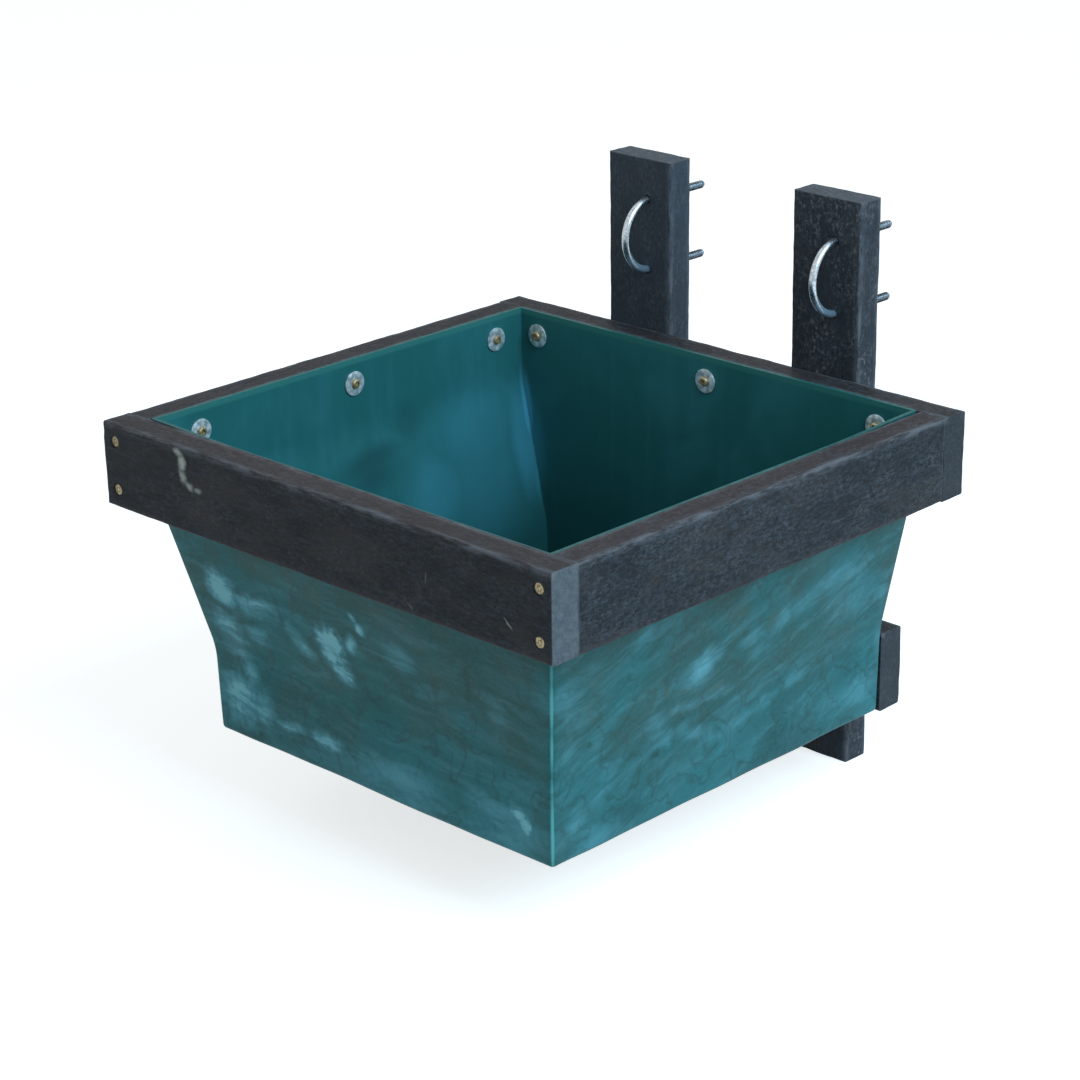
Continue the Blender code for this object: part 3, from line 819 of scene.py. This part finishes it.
def makeTub():
    low, high = (Vector(corner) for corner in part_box("tub"))
    low.z -= tubShape["floorSag"]
    size, rimZ, backY = high - low, high.z, high.y
    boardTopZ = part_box("front_board")[1][2]
    fullDepth = boardTopZ - low.z
    deselectAll()
    bpy.ops.mesh.primitive_cube_add(size=1, location=(low + high) / 2)
    tub = nameActive("tub_finished")
    tub.scale = size
    applyPlace(tub)
    enterEdit(tub)
    selectWhere(tub, "faces", isTop)
    bpy.ops.mesh.delete(type="FACE")
    depths = tubDepths(fullDepth)
    for depth in depths:
        bpy.ops.mesh.select_all(action="SELECT")
        bpy.ops.mesh.bisect(plane_co=(0, 0, boardTopZ - depth), plane_no=(0, 0, 1))
    bpy.ops.mesh.select_mode(type="VERT")
    for depth in depths + [fullDepth]:
        inset = wallInset(depth, fullDepth)
        if inset <= 0:
            continue
        height = boardTopZ - depth
        bpy.ops.mesh.select_all(action="DESELECT")
        selectWhere(tub, "verts", lambda vert: abs(vert.co.z - height) < 0.00002)
        bpy.ops.transform.resize(value=(1 - 2 * inset / size.x, 1 - inset / size.y, 1),
                                 center_override=(0, backY, height))
    bpy.ops.mesh.select_mode(type="EDGE")
    bpy.ops.mesh.select_all(action="DESELECT")
    selectWhere(tub, "edges", lambda edge: abs(edgeRun(edge).z) > 0.0005 or edgeMiddle(edge).z < low.z + 0.0001)
    bpy.ops.mesh.bevel(offset=tubShape["cornerRadius"], segments=tubShape["cornerSegments"], affect="EDGES",
                       clamp_overlap=False)
    for along in (0, 1):
        bpy.ops.mesh.select_all(action="DESELECT")
        selectWhere(tub, "edges", lambda edge: abs(edgeRun(edge)[along]) > 0.3)
        bpy.ops.mesh.subdivide(number_cuts=tubShape["cellsAcross"])
    leaveEdit()
    free = tub.vertex_groups.new(name="free")
    for vert in tub.data.vertices:
        depth = boardTopZ - vert.co.z
        fromBack = backY - vert.co.y
        weight = smoothStep(depth, 0.080, 0.125) * smoothStep(fromBack, 0.01, 0.05)
        if weight > 0:
            free.add([vert.index], weight, "REPLACE")
    applyModifier(tub, "DISPLACE", texture=waveTexture("tubSwell", tubShape["swellScale"], 1), texture_coords="GLOBAL",
                  mid_level=0.5, strength=tubShape["swell"], vertex_group="free")
    tub.vertex_groups.clear()
    for vert in tub.data.vertices:  # the rim sinks a little behind the front and right boards, as in use
        if vert.co.z > rimZ - 0.0001 and (vert.co.y < low.y + 0.006 or vert.co.x > high.x - 0.006):
            along = smoothStep(vert.co.x - low.x, 0.0, 0.12) * smoothStep(high.y - vert.co.y, 0.0, 0.12)
            vert.co.z -= tubShape["rimDip"] * along
    for look in (tubOutside(), tubInside(), tubRim()):
        tub.data.materials.append(look)
    applyModifier(tub, "SOLIDIFY", thickness=tubShape["wall"], offset=-1, use_even_offset=True, material_offset=1,
                  material_offset_rim=2)
    smoothByAngle(tub, 40)
    return tub


tubLook = {
    "outDeep": (0.0080, 0.074, 0.070, 1), "outMiddle": (0.0140, 0.113, 0.118, 1), "outPale": (0.110, 0.330, 0.390, 1),
    "outBright": (0.250, 0.520, 0.540, 1), "outDark": (0.0060, 0.046, 0.044, 1), "outBrown": (0.048, 0.095, 0.078, 1), "outCornerHighlight": (0.11, 0.38, 0.37, 1),
    "outVein": (0.022, 0.050, 0.044, 1),
    "inDeep": (0.020, 0.128, 0.130, 1), "inMiddle": (0.028, 0.160, 0.172, 1), "inPale": (0.062, 0.280, 0.380, 1),
    "inDark": (0.014, 0.052, 0.056, 1), "inLipHighlight": (0.040, 0.190, 0.175, 1),
    "rim": (0.016, 0.095, 0.092, 1), "rimPale": (0.036, 0.145, 0.138, 1),
}

# Marks on the tub's walls in millimetres: both ends along the wall and in height, width, strength
frontPale = (
    (-197, -233, -170, -261, 9, 0.60), (-175, -254, -103, -252, 6, 0.50), (-104, -255, -68, -285, 5, 0.45),
    (-198, -269, -171, -319, 9, 0.50), (-159, -283, -133, -288, 6, 0.35), (-43, -247, -37, -283, 8, 0.95),
    (-41, -284, -21, -292, 6, 0.85), (-7, -218, 3, -228, 2, 0.50), (2, -231, 9, -237, 3, 0.60),
    (-10, -245, -12, -262, 3, 0.50), (-185, -345, -181, -375, 12, 0.60), (-156, -352, -151, -374, 8, 0.45),
    (-140, -371, -90, -368, 3, 0.50), (-90, -368, -41, -371, 4, 0.60), (166, -350, 184, -371, 4, 0.60),
    (178, -366, 188, -373, 4, 0.80), (-35, -385, 98, -375, 12, 0.30), (43, -237, 62, -263, 9, 0.17),
    (164, -256, 164, -295, 6, 0.13), (-172, -325, -158, -331, 5, 0.50), (110, -385, 205, -368, 14, 0.25),
)
frontDark = (
    (143, -206, 125, -290, 2, 0.60), (125, -290, 131, -369, 2, 0.45), (-192, -262, -184, -290, 3, 0.60),
    (-182, -284, -143, -267, 2, 0.60), (-213, -399, -135, -393, 4, 0.55), (-25, -301, 40, -307, 6, 0.50),
    (-154, -330, -101, -341, 10, 0.40), (65, -251, 50, -293, 4, 0.40), (-199, -314, -172, -325, 2, 0.50),
)
frontBrown = (
    (-47, -196, -49, -228, 5, 0.55), (-95, -196, -70, -205, 3, 0.40), (60, -211, 93, -232, 7, 0.35),
    (-157, -203, -73, -214, 7, 0.35), (35, -339, 72, -307, 6, 0.30), (-30, -249, -35, -288, 2, 0.50),
    (-61, -307, -41, -309, 2, 0.40), (91, -238, 101, -271, 4, 0.30), (5, -202, 66, -215, 4, 0.30),
    (174, -217, 217, -223, 4, 0.30),
)
rightPale = (
    (-309, -272, -290, -259, 8, 0.95), (-310, -254, -262, -266, 4, 0.50), (-253, -261, -220, -253, 4, 0.75),
    (-236, -277, -217, -274, 4, 0.40), (-201, -249, -187, -248, 5, 0.60), (-147, -214, -83, -269, 15, 0.55),
    (-136, -237, -106, -242, 8, 0.40), (-186, -241, -145, -252, 6, 0.40), (-343, -297, -291, -303, 3, 0.50),
    (-291, -303, -239, -301, 3, 0.45), (-359, -309, -325, -330, 6, 0.40), (-325, -323, -266, -343, 4, 0.45),
    (-266, -343, -213, -340, 3, 0.50), (-213, -340, -179, -329, 3, 0.65), (-179, -329, -138, -323, 3, 0.45),
    (-360, -294, -339, -313, 6, 0.50), (-312, -342, -232, -350, 3, 0.30), (-88, -371, -36, -378, 8, 0.50),
    (-78, -362, -56, -364, 4, 0.40), (-30, -350, -42, -301, 3, 0.50), (-47, -247, -39, -302, 3, 0.40),
    (-457, -374, -436, -354, 5, 0.75), (-436, -354, -406, -348, 4, 0.40), (-385, -323, -424, -337, 4, 0.30),
    (-460, -394, -361, -398, 9, 0.45), (-397, -208, -385, -208, 6, 0.40), (-488, -224, -455, -264, 8, 0.30),
    (-476, -276, -457, -307, 5, 0.30),
)
rightDark = (
    (-214, -383, -109, -387, 14, 0.50), (-417, -382, -355, -381, 9, 0.50), (-342, -256, -347, -283, 3, 0.40),
    (-79, -315, -83, -348, 9, 0.35), (-353, -334, -342, -337, 3, 0.70), (-445, -294, -433, -300, 2, 0.60),
    (-254, -249, -240, -252, 2, 0.60), (-403, -221, -343, -226, 6, 0.30), (-342, -208, -234, -204, 6, 0.35),
)
rightBrown = (
    (-210, -241, -209, -254, 5, 0.55), (-341, -280, -301, -287, 2, 0.50), (-351, -267, -334, -286, 2, 0.50),
    (-456, -235, -433, -282, 2, 0.40), (-433, -282, -405, -272, 2, 0.35), (-282, -220, -240, -229, 4, 0.45),
    (-293, -295, -254, -294, 2, 0.40), (-434, -229, -456, -235, 2, 0.35), (-405, -272, -405, -297, 2, 0.30),
)
# painted highlights on the left wall's inner face: a bright line near the back corner and lit patches on the slope
leftInnerHighlights = (
    (-37, -150, -38, -240, 2.6, 1.30), (-38, -225, -38, -300, 2.0, 0.45), (-47, -165, -47, -290, 9, 0.60),
    (-160, -205, -60, -205, 22, 0.27), (-125, -230, -80, -255, 34, 0.22), (-185, -235, -160, -268, 20, 0.28),
)
# painted shade on the left wall's inner face, around the bend of the wall
leftInnerShade = (
    (-292, -207, -212, -192, 7, 0.55), (-274, -216, -232, -212, 9, 0.50), (-207, -184, -190, -162, 9, 0.26),
    (-130, -290, -80, -330, 24, 0.30),
)


def wallPoint(wall, along, height):  # a point of a wall's outer face, or of the left wall's inner face, in metres
    low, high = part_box("tub")
    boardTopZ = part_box("front_board")[1][2]
    inset = wallInset(boardTopZ - height / 1000, boardTopZ - low[2])
    if wall == "front":
        return (along / 1000, low[1] + inset, height / 1000)
    if wall == "right":
        return (high[0] - inset, along / 1000, height / 1000)
    return (low[0] + inset + tubShape["wall"], along / 1000, height / 1000)


def wallStrokes(wall, marks, widen=2.0, deepen=1.0):
    return [(wallPoint(wall, a, b), wallPoint(wall, c, d), width * widen / 1000, strength * deepen)
            for a, b, c, d, width, strength in marks]


def cornerHighlights():  # painted highlights down the tub's upright corners, where the rounded corners catch the light
    low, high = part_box("tub")
    spans = []
    for across, along, width, strength in ((1, -1, 0.0014, 1.0), (1, 1, 0.0014, 0.6), (-1, -1, 0.0022, 0.5)):
        points = []
        for height in (-160, -215, -265, -330, -410):
            x = (wallPoint("right", 0, height)[0] - 0.0015) * across
            y = wallPoint("front", 0, height)[1] + 0.0015 if along < 0 else high[1] - 0.0015
            points.append(Vector((x, y, height / 1000)))
        for start, end in zip(points, points[1:]):
            reach = (end - start) * 0.35
            spans.append((start - reach, end + reach, width, strength))
    return spans


def tubOutside():
    material, tree, shader, coords = newMaterial("tubOutside", 0.42, 0.0, 0.10)
    drifted = useGroup(tree, driftingPlace, Place=coords, Scale=26, Reach=0.014)
    height = addNode(tree, "ShaderNodeSeparateXYZ", {0: coords}).outputs["Z"]
    broad = addNoise(tree, coords, 9, 4, 0.55, 0.8)
    color = addMix(tree, addRange(tree, broad, 0.36, 0.64), tubLook["outDeep"], tubLook["outMiddle"])
    flowPlace = addNode(tree, "ShaderNodeMapping",
                        {"Vector": drifted["Place"], "Rotation": (0.35, 0.05, 0.0), "Scale": (0.090, 0.075, 0.017)},
                        vector_type="TEXTURE").outputs["Vector"]
    flow = addNoise(tree, flowPlace, 1.0, 7, 0.66, 0.5)
    color = addMix(tree, addRange(tree, flow, 0.40, 0.76, 0.0, 0.34), color, tubLook["outPale"])
    color = addMix(tree, addRange(tree, height, -0.40, -0.27, 0.13, 0.0), color, tubLook["outPale"])
    runs = addNoise(tree, addVector(tree, "MULTIPLY", drifted["Place"], (70, 70, 11)), 1.0, 4, 0.6, 0.4)
    color = addMix(tree, addRange(tree, runs, 0.48, 0.74, 0.0, 0.18), color, tubLook["outBrown"])
    vein = addMath(tree, "ABSOLUTE", addMath(tree, "SUBTRACT", addNoise(tree, drifted["Place"], 24, 2, 0.5, 0.5), 0.5))
    color = addMix(tree, addRange(tree, vein, 0.0, 0.034, 0.40, 0.0), color, tubLook["outVein"])
    shaded = addMath(tree, "MULTIPLY", addRange(tree, height, -0.26, -0.17), addRange(tree, broad, 0.30, 0.66, 0.55, 0.10))
    color = addMix(tree, shaded, color, tubLook["outDark"])
    dark = addStrokes(tree, drifted, wallStrokes("front", frontDark) + wallStrokes("right", rightDark))
    color = addMix(tree, dark, color, tubLook["outDark"])
    brown = addStrokes(tree, drifted, wallStrokes("front", frontBrown) + wallStrokes("right", rightBrown))
    color = addMix(tree, brown, color, tubLook["outBrown"])
    pale = addStrokes(tree, drifted, wallStrokes("front", frontPale, 2.1, 2.0) + wallStrokes("right", rightPale, 2.3, 0.69))
    wisps = addRange(tree, flow, 0.36, 0.60, 0.38, 1.10)
    wispy = addMath(tree, "MULTIPLY", pale, wisps)
    color = addMix(tree, wispy, color, tubLook["outPale"])
    color = addMix(tree, addRange(tree, wispy, 0.55, 1.25, 0.0, 0.65), color, tubLook["outBright"])
    # painted highlight along the tub's rounded upright corners
    cornerHighlight = addStrokes(tree, {"Place": coords, "Worn": 0.0}, cornerHighlights())
    color = addMix(tree, cornerHighlight, color, tubLook["outCornerHighlight"])
    speckle = addNoise(tree, coords, 260, 4, 0.75)
    color = addMix(tree, addRange(tree, speckle, 0.45, 0.75, 0.0, 0.10), color, tubLook["outPale"])
    tree.links.new(color, shader.inputs["Base Color"])
    tree.links.new(addRange(tree, broad, 0.3, 0.7, 0.36, 0.52), shader.inputs["Roughness"])
    setBump(tree, shader, flow, 0.3, 0.002)
    return material


def tubInside():
    material, tree, shader, coords = newMaterial("tubInside", 0.34, 0.0, 0.16)
    drifted = useGroup(tree, driftingPlace, Place=coords, Scale=6, Reach=0.012)
    height = addNode(tree, "ShaderNodeSeparateXYZ", {0: coords}).outputs["Z"]
    broad = addNoise(tree, coords, 7, 4, 0.55, 0.8)
    color = addMix(tree, addRange(tree, broad, 0.36, 0.66), tubLook["inDeep"], tubLook["inMiddle"])
    drawn = addNoise(tree, addVector(tree, "MULTIPLY", coords, (60, 60, 5)), 1.0, 3, 0.6)
    color = addMix(tree, addRange(tree, drawn, 0.45, 0.75, 0.0, 0.10), color, tubLook["inPale"])
    # painted shade: the inside is painted darker towards the bottom, where the cavity shades itself
    color = addMix(tree, addRange(tree, height, -0.34, -0.11, 0.50, 0.0), color, tubLook["inDark"])
    soft = {"Place": drifted["Place"], "Worn": 0.0}
    # painted shade on the left wall's inner face
    dark = addStrokes(tree, soft, wallStrokes("left", leftInnerShade))
    color = addMix(tree, dark, color, tubLook["inDark"])
    # painted highlights on the left wall's inner face
    pale = addStrokes(tree, soft, wallStrokes("left", leftInnerHighlights))
    color = addMix(tree, pale, color, tubLook["inPale"])
    # painted highlight: a lighter band just below the inner lip, where the top of the wall catches the light
    color = addMix(tree, addRange(tree, height, -0.1010, -0.0975, 0.0, 0.9), color, tubLook["inLipHighlight"])
    tree.links.new(color, shader.inputs["Base Color"])
    tree.links.new(addRange(tree, broad, 0.3, 0.7, 0.30, 0.42), shader.inputs["Roughness"])
    setBump(tree, shader, addMath(tree, "ADD", addMath(tree, "MULTIPLY", drawn, 0.3), broad), 0.2, 0.002)
    return material


def tubRim():
    material, tree, shader, coords = newMaterial("tubRim", 0.5, 0.0, 0.14)
    cut = addNoise(tree, coords, 180, 4, 0.6)
    color = addMix(tree, addRange(tree, cut, 0.35, 0.7), tubLook["rim"], tubLook["rimPale"])
    tree.links.new(color, shader.inputs["Base Color"])
    setBump(tree, shader, cut, 0.3, 0.0004)
    return material


tub = makeTub()
finishPiece(tub, "trough", "tub", "tub_plastic")
print("tub made")


# Floor, lights and camera

studio = {
    "floorZ": -0.485, "floorSize": 30, "ambient": 0.37, "keyPower": 112, "keySize": 2.2, "keyPlace": (2.6, -0.3, 2.0),
    "fillPower": 6, "fillSize": 2.5, "fillPlace": (-1.4, -3.0, 1.4), "aim": (0, -0.27, -0.2),
    "keyColor": (0.56, 0.88, 1.08), "skyColor": (0.84, 0.96, 1.0, 1), "floorGlow": 0.70, "floorColor": (0.80, 0.80, 0.80, 1),
}


def lensRays(tree):  # 1 for the rays that look at the background: camera, glossy and transmission
    path = tree.nodes.new("ShaderNodeLightPath").outputs
    seen = addMath(tree, "MAXIMUM", path["Is Camera Ray"], path["Is Glossy Ray"])
    return addMath(tree, "MAXIMUM", seen, path["Is Transmission Ray"])


def makeWorld():
    world = bpy.data.worlds.new("studioWorld")
    bpy.context.scene.world = world
    world.use_nodes = True
    tree = world.node_tree
    shade = tree.nodes["Background"]
    lens = lensRays(tree)
    tree.links.new(addMix(tree, lens, studio["skyColor"], (1, 1, 1, 1)), shade.inputs["Color"])
    tree.links.new(addRange(tree, lens, 0, 1, studio["ambient"], 1.0), shade.inputs["Strength"])


def makeFloor():
    deselectAll()
    bpy.ops.mesh.primitive_plane_add(size=studio["floorSize"], location=(0, 0, studio["floorZ"]))
    floor = nameActive("floor")
    applyPlace(floor)
    material = bpy.data.materials.new("floorPaper")
    material.use_nodes = True
    tree = material.node_tree
    tree.nodes.remove(tree.nodes["Principled BSDF"])
    paper = addNode(tree, "ShaderNodeBsdfDiffuse", {"Color": studio["floorColor"]})
    glow = addNode(tree, "ShaderNodeEmission", {"Color": (1, 1, 1, 1), "Strength": studio["floorGlow"]})
    both = addNode(tree, "ShaderNodeAddShader", {0: paper.outputs[0], 1: glow.outputs[0]})
    mix = addNode(tree, "ShaderNodeMixShader", {0: lensRays(tree), 1: paper.outputs[0], 2: both.outputs[0]})
    tree.links.new(mix.outputs[0], tree.nodes["Material Output"].inputs["Surface"])
    floor.data.materials.append(material)


def addAreaLight(name, place, power, size, color=(1, 1, 1)):
    light = bpy.data.lights.new(name, "AREA")
    light.energy = power
    light.size = size
    light.color = color
    lamp = bpy.data.objects.new(name, light)
    bpy.context.scene.collection.objects.link(lamp)
    lamp.location = place
    lamp.rotation_euler = (Vector(place) - Vector(studio["aim"])).to_track_quat("Z", "Y").to_euler()


view = {
    "place": (1.75779, -2.07499, 0.74602), "yaw": 44.1944, "pitch": 21.3908, "roll": -0.7457,
    "lens": 98.046, "shiftX": 0.001568, "shiftY": 0.024016,
}


def makeCamera():
    data = bpy.data.cameras.new("camera")
    data.lens = view["lens"]
    data.sensor_width = 36
    data.shift_x = view["shiftX"]
    data.shift_y = view["shiftY"]
    camera = bpy.data.objects.new("camera", data)
    bpy.context.scene.collection.objects.link(camera)
    yaw, pitch, roll = (math.radians(view[key]) for key in ("yaw", "pitch", "roll"))
    ahead = Vector((-math.sin(yaw) * math.cos(pitch), math.cos(yaw) * math.cos(pitch), -math.sin(pitch)))
    level = Vector((math.cos(yaw), math.sin(yaw), 0))
    above = level.cross(ahead)
    across = level * math.cos(roll) + above * math.sin(roll)
    above = above * math.cos(roll) - level * math.sin(roll)
    camera.matrix_world = Matrix((across, above, -ahead)).transposed().to_4x4()
    camera.location = view["place"]
    bpy.context.scene.camera = camera


makeWorld()
makeFloor()
addAreaLight("key", studio["keyPlace"], studio["keyPower"], studio["keySize"], studio["keyColor"])
addAreaLight("fill", studio["fillPlace"], studio["fillPower"], studio["fillSize"])
makeCamera()
bpy.context.scene.view_settings.view_transform = "Standard"
print("studio set")
